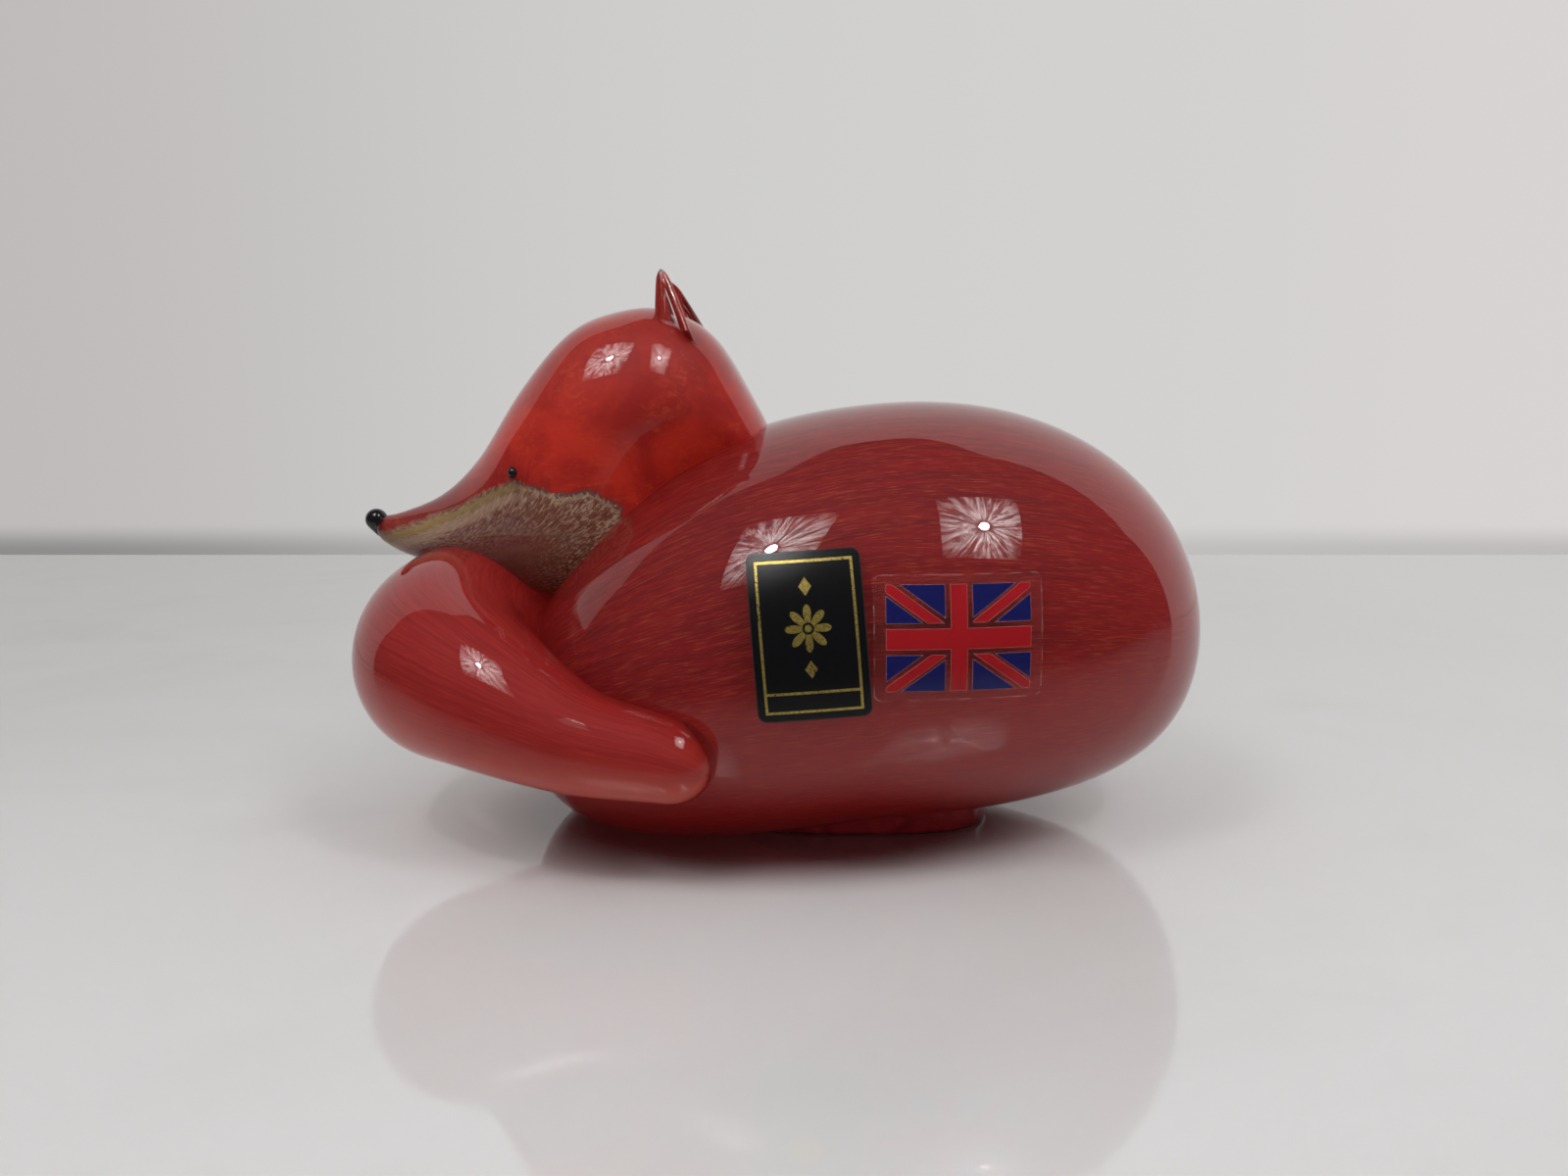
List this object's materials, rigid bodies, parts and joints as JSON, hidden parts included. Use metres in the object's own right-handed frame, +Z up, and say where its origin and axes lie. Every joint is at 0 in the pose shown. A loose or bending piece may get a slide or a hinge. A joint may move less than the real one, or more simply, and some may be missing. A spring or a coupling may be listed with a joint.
{
  "type": "glass fox paperweight",
  "caption": "Curled-up fox in hot-worked red glass: smooth egg-shaped body, tail wrapped round to the flank, pointed head with clear cupped ears, pale muzzle, black nose and eyes, ground base.",
  "frame": {"origin": "on the table, under the middle of the body, at the middle of the ground base", "axes": "+X towards the rump (the snout points to -X), -Y towards the flank with the stickers, +Z up"},
  "size_m": [0.1353, 0.0846, 0.0878],
  "materials": {
    "clear_glass": "clear casing glass, fire-polished, very glossy",
    "body_colour": "opaque brick-red glass with fine orange-brown streaks running from head to rump",
    "head_colour": "cloudy orange-red glass",
    "tail_colour": "coral-red glass with lengthwise streaks, orange at the tip",
    "base_glass": "dark maroon glass, ground flat underneath",
    "ear_glass": "clear glass with red along the rims",
    "pale_frit": "crushed cream, olive and brown glass, ragged at its edge",
    "black_glass": "opaque black glass, glossy",
    "label_foil": "black paper-backed foil with thin gold border lines",
    "sticker_film": "thin clear film printed with a national flag"
  },
  "bodies": {
    "root": {"body_casing": "clear_glass", "body_core": "body_colour", "base_pad": "base_glass", "black_label": "label_foil", "flag_sticker": "sticker_film", "tail_casing": "clear_glass", "tail_core": "tail_colour", "head_casing": "clear_glass", "head_core": "head_colour", "throat_bib": "pale_frit", "ear_left": "ear_glass", "ear_right": "ear_glass", "nose": "black_glass", "eye_left": "black_glass", "eye_right": "black_glass"}
  },
  "joints": []
}
